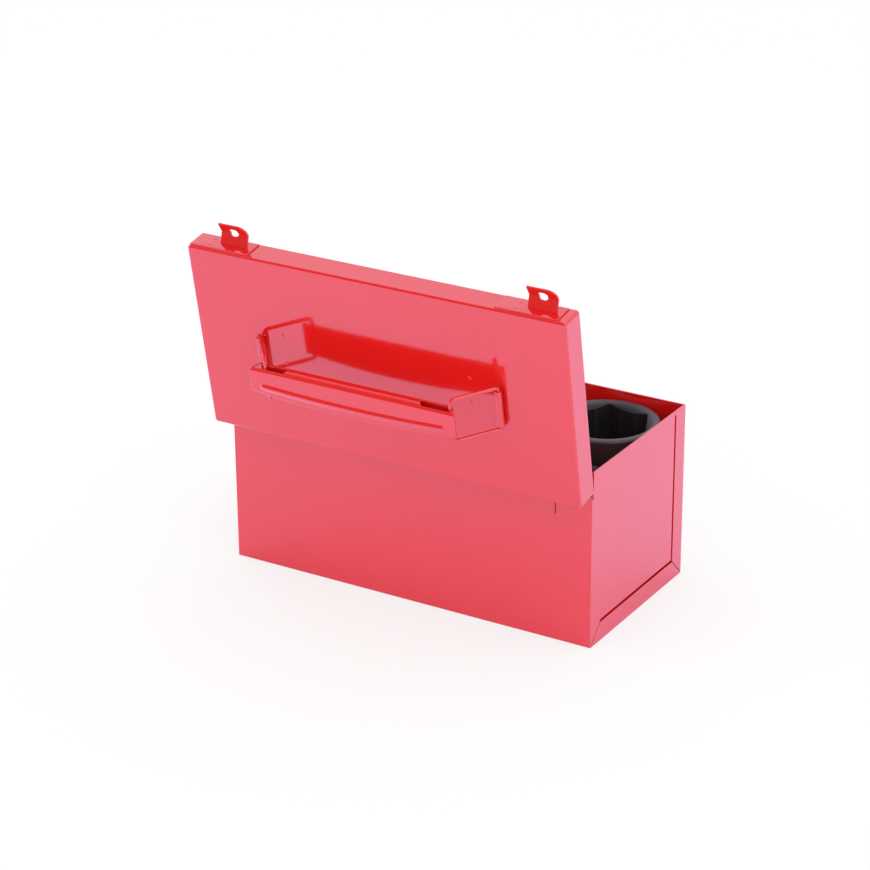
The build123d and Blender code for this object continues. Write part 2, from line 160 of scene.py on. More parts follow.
# Sockets: diameter, height, hexagon across flats, place x and y, hexagon's turn in degrees
SOCKETS = {
    "socket_large": (0.082, 0.133, 0.060, -0.111, -0.0295, 6.2),
    "socket_second": (0.076, 0.126, 0.055, -0.0305, -0.033, -11.0),
    "socket_third": (0.070, 0.120, 0.050, 0.044, -0.036, 3.0),
    "socket_fourth": (0.064, 0.114, 0.046, 0.1125, -0.039, 21.0),
    "socket_fifth": (0.058, 0.116, 0.041, -0.1225, 0.042, -17.0),
    "socket_sixth": (0.055, 0.104, 0.038, -0.064, 0.0435, 9.0),
}
SQUARE_DRIVE = 0.0254
DRIVE_DEPTH = 0.028
DRIVE_EDGE = 0.0002
PASSAGE = 0.0135
SEAT_SHARE = 0.48
NECK_SHARE = 0.8
NECK_LEAST = 0.0255
MOUTH_CONE = 0.004
MOUTH_FLARE = 0.0012
CHAMFER = 0.0006
# Reach of the painted highlight down from the sockets' rims, where the top faces catch the light
RIM_HIGHLIGHT_REACH = 0.0016

# Steps of the sockets' outline, as (height, radius) from the foot and the neck, from the groove's middle and
# the neck, and from the rim's top and the body. The shoulder's are shares of the height and of its width.
FOOT_STEPS = ((0.0, -0.0015), (0.0004, -0.0006), (0.0015, 0.0))
GROOVE_STEPS = ((-0.0018, 0.0), (-0.0016, -0.0009), (-0.0008, -0.0012), (0.0008, -0.0012), (0.0016, -0.0009),
                (0.0018, 0.0))
SHOULDER_STEPS = ((0.36, 0.0), (0.38, 0.15), (0.42, 0.85), (0.44, 1.0))
RIM_STEPS = ((-0.0022, 0.0), (-0.0012, -0.0003), (-0.0004, -0.0010), (0.0, -0.0020))

# Points round or along the grids
SOCKET_COLUMNS = 144
CONE_ROWS = 7
RING_BEND_POINTS = 14
WIRE_SIDES = 28
GRIP_STATIONS = 221
GRIP_BACK_POINTS = 8
GRIP_FOLD_POINTS = 16
GRIP_FACE_POINTS = 60
EAR_COLUMNS = 320
EAR_RINGS = 16
EAR_CORNER_POINTS = 40
EAR_SIDE_POINTS = 80
PLATE_COLUMNS = 96
PLATE_EDGE_POINTS = 8
MARK_COLUMNS = 32

# Studio. DARK_SIDE is where the room that the enamel mirrors is dark. A lamp is its name, place, size and
# share of the key's power. The rays are outputs of Light Path.
FLOOR_HALF = 6.0
CAMERA_RAY = 0
GLOSSY_RAY = 3
TRANSMISSION_RAY = 6
DARK_SIDE = (0.30, 0.85, 0.43)
DARK_SPREAD = (0.25, 0.75)
MIRRORED_ROOM = (0.80, 0.76, 0.92, 1.0)
MIRRORED_DARK = (0.10, 0.09, 0.11, 1.0)
WHITE = (1.0, 1.0, 1.0, 1.0)
LAMP_AIM = (0.0, 0.03, 0.12)
LAMPS = (("key_soft", (-1.1, 0.9, 1.5), 1.2, 1.0), ("fill_soft", (1.3, 0.7, 0.8), 1.0, 0.35))
CAMERA_AIM = (0.0, 0.01325, 0.070)
CAMERA_AZIMUTH = math.radians(30.972)
CAMERA_ELEVATION = math.radians(24.58)
CAMERA_ROLL = math.radians(-0.289)
CAMERA_DISTANCE = 2.2219
CAMERA_SENSOR = 36.0
CAMERA_REACH = 30.0
FOCAL_PIXELS = 2922.2
SHIFT_PIXELS = (-14.09, 52.47)
FRAME_PIXELS = 870


class Wire:
    """A shader socket on which Python arithmetic adds Math nodes."""

    def __init__(self, sheet, socket):
        self.sheet = sheet
        self.socket = socket

    def _join(self, kind, other):
        return self.sheet.node("ShaderNodeMath", {"operation": kind}, {0: self, 1: other})[0]

    def __add__(self, other):
        return self._join("ADD", other)

    __radd__ = __add__

    def __mul__(self, other):
        return self._join("MULTIPLY", other)

    __rmul__ = __mul__


class Sheet:
    """A node tree to which nodes are added by type, settings and inputs."""

    def __init__(self, tree):
        self.tree = tree
        tree.nodes.clear()

    def node(self, kind, settings=None, inputs=None):
        """Adds a node, settings first and then its sockets, and returns its outputs as wires."""
        made = self.tree.nodes.new(kind)
        for name, value in (settings or {}).items():
            setattr(made, name, value)
        for name, value in (inputs or {}).items():
            if isinstance(value, Wire):
                self.tree.links.new(value.socket, made.inputs[name])
            else:
                made.inputs[name].default_value = value
        return [Wire(self, out) for out in made.outputs]

    def noise(self, place, scale, detail=2.0):
        """A noise value over the surface, from 0 to 1."""
        return self.node("ShaderNodeTexNoise", {}, {"Vector": place, "Scale": scale, "Detail": detail})[0]

    def bump(self, height, strength, distance):
        """A normal roughened by a height."""
        inputs = {"Strength": strength, "Distance": distance, "Height": height}
        return self.node("ShaderNodeBump", {}, inputs)[0]

    def blend(self, factor, first, second):
        """A colour between two colours."""
        return self.node("ShaderNodeMix", {"data_type": "RGBA"}, {0: factor, 6: first, 7: second})[2]

    def place(self):
        """Object coordinates, in metres."""
        return self.node("ShaderNodeTexCoord")[3]

    def surface(self, inputs):
        """The main shader, wired to the output."""
        shader = self.node("ShaderNodeBsdfPrincipled", {}, inputs)[0]
        self.node("ShaderNodeOutputMaterial", {}, {"Surface": shader})


def new_material(name, viewport):
    """An empty node material with its sheet."""
    material = bpy.data.materials.new(name)
    material.use_nodes = True
    material.diffuse_color = viewport
    return material, Sheet(material.node_tree)


def enamel(colour):
    """Red baked enamel: a slightly wavy clear layer over an even red."""
    material, sheet = new_material("red_enamel", (*colour, 1.0))
    place = sheet.place()
    drift = sheet.noise(place, 14.0)
    peel = sheet.noise(place, 420.0, 1.0)
    dust = sheet.noise(place, 240.0, 3.0)
    light = [min(1.0, c * 1.04 + 0.001) for c in colour] + [1.0]
    deep = [c * 0.95 for c in colour] + [1.0]
    sheet.surface({
        "Base Color": sheet.blend(drift, deep, light),
        "Roughness": 0.10 + dust * 0.05,
        "Normal": sheet.bump(peel, 0.035, 0.0004),
        "IOR": 1.66,
        "Coat Weight": 1.0,
        "Coat Roughness": 0.075,
        "Coat IOR": 1.66,
    })
    return material


def phosphate(colour):
    """Black phosphated steel: oily satin, with fine grain, paler patches and a painted highlight on the rim's
    top, where the top face catches the light.
    """
    material, sheet = new_material("black_phosphate", (*colour, 1.0))
    place = sheet.place()
    patch = sheet.noise(place, 38.0, 3.0)
    grain = sheet.noise(place, 1500.0, 2.0)
    # The rim's painted highlight: a paler grey mixed in at each socket's top, where the top face catches the
    # light
    painted_rim_highlight = sheet.node("ShaderNodeAttribute", {"attribute_name": "painted_rim_highlight"})[2]
    pale = [c * 1.8 + 0.004 for c in colour] + [1.0]
    rim_highlight = [c * 5.0 + 0.03 for c in colour] + [1.0]
    body = sheet.blend(patch * 0.7, [*colour, 1.0], pale)
    sheet.surface({
        "Base Color": sheet.blend(painted_rim_highlight * (0.45 + patch * 0.6), body, rim_highlight),
        "Roughness": 0.34 + patch * 0.14,
        "Metallic": 0.35,
        "Normal": sheet.bump(grain, 0.12, 0.0002),
    })
    return material


def pin_steel(colour):
    """Plain drawn steel of the pins."""
    material, sheet = new_material("drawn_steel", (*colour, 1.0))
    tint = sheet.noise(sheet.place(), 220.0, 3.0)
    dark = [c * 0.7 for c in colour] + [1.0]
    sheet.surface({
        "Base Color": sheet.blend(tint, dark, [*colour, 1.0]),
        "Roughness": 0.28 + tint * 0.2,
        "Metallic": 1.0,
    })
    return material


def material_of(name, maker, colour):
    """The named material, made once."""
    return bpy.data.materials.get(name) or maker(tuple(colour))


def red_paint(context):
    """The case's enamel."""
    return material_of("red_enamel", enamel, context.scene.case_colours.paint)


def dress_nodes(names, material):
    """Gives CAD nodes a material."""
    for name in names:
        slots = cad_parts[name].data.materials
        slots.clear()
        slots.append(material)


def outward(points, faces):
    """The faces, turned over where the volume that they enclose comes out negative."""
    a, b, c, d = (points[faces[:, k]] for k in range(4))
    volume = (a * (np.cross(b, c) + np.cross(c, d))).sum()
    return faces if volume > 0 else faces[:, ::-1]


def joined(points, faces):
    """The same surface with points less than about 0.1 micrometres apart made one, so that poles close."""
    kept, place = np.unique(np.round(points, 7), axis=0, return_inverse=True)
    corners = [list(dict.fromkeys(face)) for face in place.reshape(-1)[faces].tolist()]
    return kept.tolist(), [face for face in corners if len(face) > 2]


def make_piece(name, points, faces, material, crease=30.0, poles=False):
    """A mesh object from arrays of points and quads, smooth but for edges over the crease angle."""
    faces = outward(points, faces)
    points, faces = joined(points, faces) if poles else (points.tolist(), faces.tolist())
    mesh = bpy.data.meshes.new(name)
    mesh.from_pydata(points, [], faces)
    mesh.validate()
    mesh.shade_smooth()
    mesh.set_sharp_from_angle(angle=math.radians(crease))
    mesh.materials.append(material)
    piece = bpy.data.objects.new(name, mesh)
    bpy.context.scene.collection.objects.link(piece)
    return piece


def grid_faces(rows, columns, wrap_rows, wrap_columns):
    """Quads of a rows by columns grid, joined up at its ends where asked."""
    i = np.arange(rows if wrap_rows else rows - 1)
    j = np.arange(columns if wrap_columns else columns - 1)
    row, column = np.meshgrid(i, j, indexing="ij")
    next_row = (row + 1) % rows
    next_column = (column + 1) % columns
    quads = [row * columns + column, next_row * columns + column, next_row * columns + next_column,
             row * columns + next_column]
    return np.stack(quads, -1).reshape(-1, 4)


def copied(points, faces, places):
    """Copies of a shape at the places, as the arrays of one mesh."""
    first = len(points) * np.arange(len(places))[:, None, None]
    return (points + np.array(places)[:, None]).reshape(-1, 3), (faces + first).reshape(-1, 4)


def from_lid(points):
    """Lid coordinates to the row frame: origin + along, up and out times their directions."""
    return LID_ORIGIN + points @ LID_AXES


def unit(vectors):
    """The vectors over their lengths."""
    return vectors / np.linalg.norm(vectors, axis=-1, keepdims=True)


def rounded_loop(width, length, inner, outer):
    """Centre line of a closed wire ring: four quarter circles, corner + radius (cos a, sin a), set in a
    rectangle from 0 to -length, with the inner radius at 0 and the outer radius at -length."""
    half = width / 2
    corners = [(-inner, half - inner, inner), (outer - length, half - outer, outer),
               (outer - length, outer - half, outer), (-inner, inner - half, inner)]
    arcs = []
    for quarter, (x, y, radius) in enumerate(corners):
        angle = np.linspace(0, math.pi / 2, RING_BEND_POINTS) + quarter * math.pi / 2
        arcs.append(np.stack([x + radius * np.cos(angle), y + radius * np.sin(angle)], -1))
    return np.concatenate(arcs)


def tube(path, radius):
    """A closed round tube: path + radius (side cos a / cos(bend / 2) + normal sin a), where normal is square
    to the path's flat plane, and side to that and to the path."""
    ahead = unit(np.roll(path, -1, 0) - path)
    behind = unit(path - np.roll(path, 1, 0))
    along = unit(ahead + behind)
    spread = 1.0 / np.clip((along * ahead).sum(1, keepdims=True), 0.5, 1.0)
    normal = unit(np.cross(path[len(path) // 4] - path[0], path[len(path) // 2] - path[0]))
    side = unit(np.cross(along, normal))
    turn = np.linspace(0, 2 * math.pi, WIRE_SIDES, endpoint=False)[:, None]
    across = (side * spread)[:, None] * np.cos(turn) + normal * np.sin(turn)
    return (path[:, None] + radius * across).reshape(-1, 3)


def ring_points(sign, radius):
    """A handle ring's tube: the loop turned up by the raised angle about its barrel's axis, p = (x cos r, y,
    -x sin r), then mirrored by the sign and moved to its barrel."""
    loop = rounded_loop(RING_WIDTH, RING_LENGTH, RING_BEND_INNER, RING_BEND_OUTER)
    x, y = loop.T
    path = np.stack([sign * x * math.cos(RAISED), y, -x * math.sin(RAISED)], -1)
    return from_lid(tube(path + [sign * BARREL_SPAN, HANDLE_MID, BARREL_AXIS], radius))


def polygon_radius(turn, flats, count):
    """Distance from the middle to a regular polygon: half its flats / cos(angle from the nearest flat)."""
    step = 2 * math.pi / count
    return flats / 2 / np.cos((turn + step / 2) % step - step / 2)


def socket_grid(diameter, height, flats, spin):
    """A socket's closed surface turned round its axis: the heights of its rows, and the radius of each row
    at each angle, going up the outside, over the mouth, down the hexagon, through the passage and the
    square drive, and back under the foot."""
    turn = np.linspace(0, 2 * math.pi, SOCKET_COLUMNS, endpoint=False)
    hexagon = polygon_radius(turn - math.pi / 6 + math.radians(spin), flats, 6)
    square = polygon_radius(turn, SQUARE_DRIVE, 4)
    radius = diameter / 2
    neck = max(radius * NECK_SHARE, NECK_LEAST)
    flare = flats / math.sqrt(3) + MOUTH_FLARE
    seat = height * SEAT_SHARE
    outside = [(up, neck + out) for up, out in FOOT_STEPS]
    outside += [(DRIVE_DEPTH / 2 + up, neck + out) for up, out in GROOVE_STEPS]
    outside += [(height * up, neck + (radius - neck) * out) for up, out in SHOULDER_STEPS]
    outside += [(height + up, radius + out) for up, out in RIM_STEPS]
    outside += [(height, flare)]
    share = np.linspace(0, 1, CONE_ROWS)[1:]
    cone = flare + (flats / 2 - flare) * share
    broached = np.minimum(hexagon, flare)
    mouth = [(height - MOUTH_CONE * s, np.maximum(c, broached)) for s, c in zip(share, cone)]
    inside = [
        (seat, hexagon), (seat, PASSAGE), (DRIVE_DEPTH, PASSAGE), (DRIVE_DEPTH, np.minimum(square, PASSAGE)),
        (DRIVE_DEPTH - DRIVE_EDGE, square), (CHAMFER, square), (0.0, square + CHAMFER),
    ]
    rows = outside + mouth + inside
    heights = np.array([row[0] for row in rows])
    return turn, heights, np.stack([row[1] + 0 * turn for row in rows])


def grip_grid():
    """The grip's closed wall in lid coordinates, as (along, up, out) and quads. Round its section run the
    back, the top fold, the face, the bottom fold and the back again. The folds are quarter ellipses, the
    bottom sags by sag (1 - (x / half)^2), and the face stands out by bead exp(-((up - crest) / width)^2)."""
    x = np.linspace(-GRIP_HALF, GRIP_HALF, GRIP_STATIONS)[:, None]
    belly = 1 - (x / GRIP_HALF) ** 2
    low = -GRIP_BOTTOM - GRIP_SAG * belly
    seam = (GRIP_TOP + low) / 2
    arc = np.linspace(0, math.pi / 2, GRIP_FOLD_POINTS)
    run = np.linspace(0, 1, GRIP_BACK_POINTS)
    lip = seam + (GRIP_TOP - seam) * run
    top = GRIP_TOP - GRIP_FOLD * (1 - np.cos(arc)) + 0 * x
    fall = low + 2 * GRIP_FOLD - GRIP_TOP
    face = GRIP_TOP - GRIP_FOLD + fall * np.linspace(0, 1, GRIP_FACE_POINTS)[1:-1]
    bottom = low + GRIP_FOLD * (1 - np.sin(arc))
    back = (seam + (low - seam) * run[1:])[:, ::-1]
    up = np.concatenate([lip, top, face, bottom, back], 1)

    ease = np.clip((GRIP_BEAD_REACH - np.abs(x)) / GRIP_BEAD_EASE, 0, 1)
    ease = ease * ease * (3 - 2 * ease)
    crest = GRIP_CREST - GRIP_CREST_SAG * belly
    bead = GRIP_FACE + GRIP_BEAD * ease * np.exp(-((face - crest) / GRIP_BEAD_WIDTH) ** 2)
    side = GRIP_FACE - GRIP_ROLL
    out = np.concatenate([GRIP_EDGE + 0 * lip, side + GRIP_ROLL * np.sin(arc) + 0 * x, bead,
                          side + GRIP_ROLL * np.cos(arc) + 0 * x, GRIP_EDGE + 0 * back], 1)

    rows, columns = up.shape
    faces = grid_faces(rows, columns, False, True)
    reach = np.abs(x[faces // columns, 0]).mean(1)
    depth = out.reshape(-1)[faces].mean(1)
    level = up.reshape(-1)[faces].mean(1)
    fold = (level > GRIP_TOP - GRIP_SLOT_TOP) | (level < low[faces[:, 0] // columns, 0] + GRIP_SLOT_BOTTOM)
    slot = fold & (reach > GRIP_SLOT[0]) & (reach < GRIP_SLOT[1])
    slot &= (depth > GRIP_SLOT_DEPTH[0]) & (depth < GRIP_SLOT_DEPTH[1])
    along = x * (1 - GRIP_SLANT * (GRIP_FACE + GRIP_BEAD - out) / GRIP_HALF) + GRIP_SHIFT
    points = np.stack([along, HANDLE_MID + up, out + GRIP_LIFT], -1)
    return points.reshape(-1, 3), faces[~slot]


def strip_fold(across, along):
    """The keeper's strip: p = foot + d1 (t - s) + d2 s with s = w log(1 + exp((t - bend) / w)), which folds
    the flat strip softly at the bend. Returns points on its middle surface and their normals."""
    first = np.subtract(EAR_BEND, EAR_FOOT)
    length = np.linalg.norm(first)
    first = unit(first)
    second = unit(np.subtract(EAR_TIP, EAR_BEND))
    folded = (EAR_SOFTNESS * np.logaddexp(0, (along - length) / EAR_SOFTNESS))[..., None]
    share = (0.5 + 0.5 * np.tanh((along - length) / (2 * EAR_SOFTNESS)))[..., None]
    place = np.array(EAR_FOOT) + first * (along[..., None] - folded) + second * folded
    ahead = unit(first * (1 - share) + second * share)
    points = np.stack([across, LID_WIDTH + place[..., 0], place[..., 1]], -1)
    normals = np.stack([0 * across, -ahead[..., 1], ahead[..., 0]], -1)
    return points, normals


def ear_grid():
    """The ear as one closed surface with a hole: rings r = hole + (outline - hole) s on one face, and back
    on the other. The outline is a rectangle with one rounded corner, the hole |x|^3 + |y|^3 = radius^3."""
    turn = np.linspace(0, math.pi / 2, EAR_CORNER_POINTS)
    side = np.linspace(0, 1, EAR_SIDE_POINTS)
    corner = EAR_HALF - EAR_CORNER
    x = np.concatenate([EAR_HALF + 0 * side, corner + EAR_CORNER * np.cos(turn),
                        corner - (corner + EAR_HALF) * side, -EAR_HALF + 0 * side, EAR_HALF * (2 * side - 1)])
    y = np.concatenate([(EAR_TALL - EAR_CORNER) * side, EAR_TALL - EAR_CORNER * (1 - np.sin(turn)),
                        EAR_TALL + 0 * side, EAR_TALL * (1 - side), 0 * side]) - EAR_HOLE_UP
    angle = np.linspace(-math.pi, math.pi, EAR_COLUMNS, endpoint=False)
    seen = np.arctan2(y, x)
    order = np.argsort(seen)
    outline = np.interp(angle, seen[order], np.hypot(x, y)[order], period=2 * math.pi)
    hole = EAR_HOLE / (np.abs(np.cos(angle)) ** 3 + np.abs(np.sin(angle)) ** 3) ** (1 / 3)
    radius = hole + (outline - hole) * np.linspace(0, 1, EAR_RINGS)[:, None]
    points, normals = strip_fold(radius * np.cos(angle), EAR_HOLE_UP + radius * np.sin(angle))
    half = SHEET / 2
    grid = np.concatenate([points + normals * half, (points - normals * half)[::-1]])
    return grid.reshape(-1, 3), grid_faces(len(grid), len(angle), True, True)


def plate_grid(low, high, edge):
    """A plate whose edges are quarter rounds: a rectangle drawn in by edge (1 - cos a) at the height
    reach - edge + edge sin a above and below its middle, and closed to the middle of each face."""
    around = np.linspace(-math.pi, math.pi, PLATE_COLUMNS, endpoint=False)
    ring = np.stack([np.cos(around), np.sin(around)])
    ring /= np.abs(ring).max(0)
    middle = np.add(low, high) / 2
    reach = np.subtract(high, low) / 2
    turn = np.linspace(0, math.pi / 2, PLATE_EDGE_POINTS)
    drawn = edge * (1 - np.cos(turn))
    drawn = np.concatenate([drawn[::-1], drawn])
    height = reach[1] - edge * (1 - np.sin(turn))
    height = np.concatenate([[-reach[1]], -height[::-1], height, [reach[1]]])[:, None]
    wide = np.concatenate([[0], reach[0] - drawn, [0]])[:, None]
    deep = np.concatenate([[0], reach[2] - drawn, [0]])[:, None]
    points = np.stack([wide * ring[0], height + 0 * ring[0], deep * ring[1]], -1) + middle
    return points.reshape(-1, 3), grid_faces(len(height), len(around), False, True)


def box_set(spans):
    """Boxes as the arrays of one mesh: the eight corners of each, from its (low, high) along x, y and z."""
    corners = [(x, y, z) for span in spans for z in span[2] for y in span[1] for x in span[0]]
    faces = BOX_FACES + 8 * np.arange(len(spans))[:, None, None]
    return np.array(corners), faces.reshape(-1, 4)


def weld_mark(radius):
    """A spot weld's mark as one closed surface turned round its middle: a low rim round a shallow dish, its
    underside sunk in the sheet. Its points are (right, up, out) from the middle."""
    turn = np.linspace(0, 2 * math.pi, MARK_COLUMNS, endpoint=False)
    reach, rise = np.array(MARK_STEPS).T[..., None]
    points = np.stack([radius * reach * np.cos(turn), radius * reach * np.sin(turn), rise + 0 * turn], -1)
    return points.reshape(-1, 3), grid_faces(len(MARK_STEPS), len(turn), False, True)


class CaseColours(bpy.types.PropertyGroup):
    """Colours that a user would change."""

    paint: bpy.props.FloatVectorProperty(
        name="Enamel", description="Colour of the baked enamel", subtype="COLOR",
        default=(0.80, 0.010, 0.008))
    socket: bpy.props.FloatVectorProperty(
        name="Sockets", description="Colour of the phosphated sockets", subtype="COLOR",
        default=(0.018, 0.017, 0.019))
    pin: bpy.props.FloatVectorProperty(
        name="Pins", description="Colour of the steel pins", subtype="COLOR", default=(0.34, 0.33, 0.32))


class CaseSizes(bpy.types.PropertyGroup):
    """Sizes of the pieces that the scene makes."""

    wire: bpy.props.FloatProperty(
        name="Ring wire", description="Diameter of the handle's wire", default=0.003, unit="LENGTH")
    weld: bpy.props.FloatProperty(
        name="Spot weld", description="Diameter of a spot weld's mark", default=0.0028, unit="LENGTH")


class StudioSettings(bpy.types.PropertyGroup):
    """The studio's light."""

    sky: bpy.props.FloatProperty(name="Room light", description="Brightness of the white room", default=1.0)
    key: bpy.props.FloatProperty(
        name="Key light", description="Power of the soft key", default=3.9, unit="POWER")
    floor: bpy.props.FloatVectorProperty(
        name="Floor", description="Colour of the floor", subtype="COLOR", default=(0.98, 0.98, 0.98))
    reflected: bpy.props.FloatVectorProperty(
        name="Floor in reflections", description="Cool tone of the floor as the enamel mirrors it",
        subtype="COLOR", default=(0.88, 0.80, 1.13))
    clean: bpy.props.FloatProperty(
        name="Clean floor", description="Share of pure white in the floor", default=0.7, subtype="FACTOR")


class CASE_OT_enamel(bpy.types.Operator):
    """Gives every painted sheet, wire and rivet its red enamel and the pins their steel"""

    bl_idname = "case.enamel"
    bl_label = "Enamel"

    def execute(self, context):
        dress_nodes(RED_NODES, red_paint(context))
        dress_nodes(STEEL_NODES, material_of("drawn_steel", pin_steel, context.scene.case_colours.pin))
        return {"FINISHED"}


class CASE_OT_sockets(bpy.types.Operator):
    """Turns the six impact sockets, each one closed surface of circles, a hexagon and a square"""

    bl_idname = "case.sockets"
    bl_label = "Sockets"

    def execute(self, context):
        finish = material_of("black_phosphate", phosphate, context.scene.case_colours.socket)
        dress_nodes(SOCKETS, finish)
        for name, (diameter, height, flats, x, y, spin) in SOCKETS.items():
            turn, heights, radii = socket_grid(diameter, height, flats, spin)
            z = SHEET + heights[:, None] + 0 * radii
            points = np.stack([x + radii * np.cos(turn), y + radii * np.sin(turn), z], -1).reshape(-1, 3)
            faces = grid_faces(len(heights), len(turn), True, True)
            piece = make_piece(name + "_turned", points, faces, finish, crease=28.0)
            # Share of the rim's painted highlight: 1 at the rim's top, fading downwards
            rim_highlight = np.exp(-((z - SHEET - height) / RIM_HIGHLIGHT_REACH) ** 2)
            painted_rim_highlight = piece.data.attributes.new("painted_rim_highlight", "FLOAT", "POINT")
            painted_rim_highlight.data.foreach_set("value", rim_highlight.reshape(-1).astype(np.float32))
            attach(piece, name)
            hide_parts(name)
        return {"FINISHED"}


class CASE_OT_rings(bpy.types.Operator):
    """Bends the handle's two wire rings as smooth tubes"""

    bl_idname = "case.rings"
    bl_label = "Wire rings"

    def execute(self, context):
        radius = context.scene.case_sizes.wire / 2
        for side, sign in (("left", 1.0), ("right", -1.0)):
            points = ring_points(sign, radius)
            faces = grid_faces(len(points) // WIRE_SIDES, WIRE_SIDES, True, True)
            piece = make_piece(f"ring_wire_{side}", points, faces, red_paint(context))
            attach(piece, f"handle_ring_{side}")
            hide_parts(f"handle_ring_{side}")
        return {"FINISHED"}


class CASE_OT_grip(bpy.types.Operator):
    """Stamps the grip: a closed wall between two rounded folds, with a bead, and slots for the rings"""

    bl_idname = "case.grip"
    bl_label = "Grip"

    def execute(self, context):
        points, faces = grip_grid()
        piece = make_piece("grip_stamped", from_lid(points), faces, red_paint(context), crease=50.0)
        sheet = piece.modifiers.new("sheet", "SOLIDIFY")
        sheet.thickness = GRIP_SHEET
        sheet.offset = -1.0
        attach(piece, "handle_grip")
        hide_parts("handle_grip")
        return {"FINISHED"}


class CASE_OT_keepers(bpy.types.Operator):
    """Folds the two keepers: a plate on the flange and a hooked ear with its hole"""

    bl_idname = "case.keepers"
    bl_label = "Keepers"

    def execute(self, context):
        ear, ear_faces = ear_grid()
        plate, plate_faces = plate_grid(PLATE_LOW, PLATE_HIGH, PLATE_EDGE)
        for side, sign in (("left", 1.0), ("right", -1.0)):
            base = from_lid(plate + [sign * KEEPER_SPAN, 0, 0])
            hook = from_lid(ear + [sign * KEEPER_SPAN + EAR_OFFSET, 0, 0])
            piece = make_piece(f"keeper_plate_{side}", base, plate_faces, red_paint(context), poles=True)
            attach(piece, "lid")
            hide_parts(f"keeper_{side}")
            piece = make_piece(f"keeper_ear_{side}", hook, ear_faces, red_paint(context))
            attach(piece, "lid")
        return {"FINISHED"}


class CASE_OT_ends(bpy.types.Operator):
    """Sets the end walls, each of six boxes from their low to their high corners: a field joined flush
    beside the hinge wall, an open seam below and at the latch side that stops short of the rim, and a
    margin behind the flanges. A seventh box closes the far relief slit of the hinge wall"""

    bl_idname = "case.ends"
    bl_label = "End walls"

    def execute(self, context):
        near = CASE_WIDTH / 2 - FLANGE
        far = FLANGE + SEAM - CASE_WIDTH / 2
        wall = CASE_WIDTH / 2 - SHEET - WALL_CLEARANCE
        base = FLANGE + SEAM
        top = CASE_HEIGHT - SEAM_STOP
        front = (CASE_LENGTH / 2 - SHEET, CASE_LENGTH / 2)
        behind = (CASE_LENGTH / 2 - 3 * SHEET, CASE_LENGTH / 2 - 2 * SHEET)
        for side, sign in (("left", -1.0), ("right", 1.0)):
            field = [sign * x for x in front]
            margin = [sign * x for x in behind]
            points, faces = box_set([
                (field, (far, near), (base, CASE_HEIGHT)),
                (field, (far - SEAM, far), (top, CASE_HEIGHT)),
                (field, (near - SEAM_WELD, near), (FLANGE, base)),
                (margin, (-wall, far + SHEET), (SHEET, top)),
                (margin, (near - SHEET, wall), (SHEET, HINGE[1] - EYE_NOTCH)),
                (margin, (far + SHEET, near - SHEET), (SHEET, base + SHEET)),
            ])
            piece = make_piece(f"end_wall_{side}", points, faces, red_paint(context))
            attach(piece, "case")
            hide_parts(f"end_panel_{side}")
        slit = (SLIT_X - SLIT_HALF, SLIT_X + SLIT_HALF)
        hinge_wall = (CASE_WIDTH / 2 - SHEET, CASE_WIDTH / 2)
        heights = [HINGE[1] - depth for depth in SLIT_DEPTHS]
        points, faces = box_set([(slit, hinge_wall, heights)])
        piece = make_piece("slit_weld", points, faces, red_paint(context))
        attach(piece, "case")
        return {"FINISHED"}


class CASE_OT_welds(bpy.types.Operator):
    """Presses the spot-weld marks into the lid beside the handle and into the keepers' plates"""

    bl_idname = "case.welds"
    bl_label = "Spot welds"

    def execute(self, context):
        mark, mark_faces = weld_mark(context.scene.case_sizes.weld / 2)
        for side, spots in LID_SPOTS.items():
            points, faces = copied(mark, mark_faces, spots)
            points = from_lid(points)
            piece = make_piece(f"spot_welds_{side}", points, faces, red_paint(context), poles=True)
            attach(piece, "lid")
        spots = [(span - KEEPER_SPOT_SETBACK, LID_WIDTH + SHEET, depth)
                 for span in (KEEPER_SPAN, -KEEPER_SPAN) for depth in KEEPER_SPOT_DEPTHS]
        points, faces = copied(mark[:, [0, 2, 1]] * [1, KEEPER_SPOT_RISE, 1], mark_faces, spots)
        piece = make_piece("keeper_welds", from_lid(points), faces, red_paint(context), poles=True)
        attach(piece, "lid")
        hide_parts("keeper_rivets")
        return {"FINISHED"}


def lay_floor(light):
    """The pale floor: mostly white to the camera, in a cool tone to the enamel that mirrors it, and matt
    enough to keep the case's shadow."""
    mesh = bpy.data.meshes.new("floor")
    corners = [(x * FLOOR_HALF, y * FLOOR_HALF, 0) for x, y in ((-1, -1), (1, -1), (1, 1), (-1, 1))]
    mesh.from_pydata(corners, [], [(0, 1, 2, 3)])
    ground = bpy.data.objects.new("floor", mesh)
    bpy.context.scene.collection.objects.link(ground)
    material, sheet = new_material("floor_white", WHITE)
    ray = sheet.node("ShaderNodeLightPath")
    white = [*light.floor, 1.0]
    lighter = [min(1.0, c * 1.01) for c in white]
    grain = sheet.blend(sheet.noise(sheet.place(), 3.0), white, lighter)
    tone = sheet.blend(ray[GLOSSY_RAY], grain, [*light.reflected, 1.0])
    matt = sheet.node("ShaderNodeBsdfDiffuse", {}, {"Color": tone})[0]
    glow = sheet.node("ShaderNodeEmission", {}, {"Color": WHITE, "Strength": 1.0})[0]
    both = sheet.node("ShaderNodeMixShader", {}, {0: ray[CAMERA_RAY] * light.clean, 1: matt, 2: glow})[0]
    sheet.node("ShaderNodeOutputMaterial", {}, {"Surface": both})
    mesh.materials.append(material)


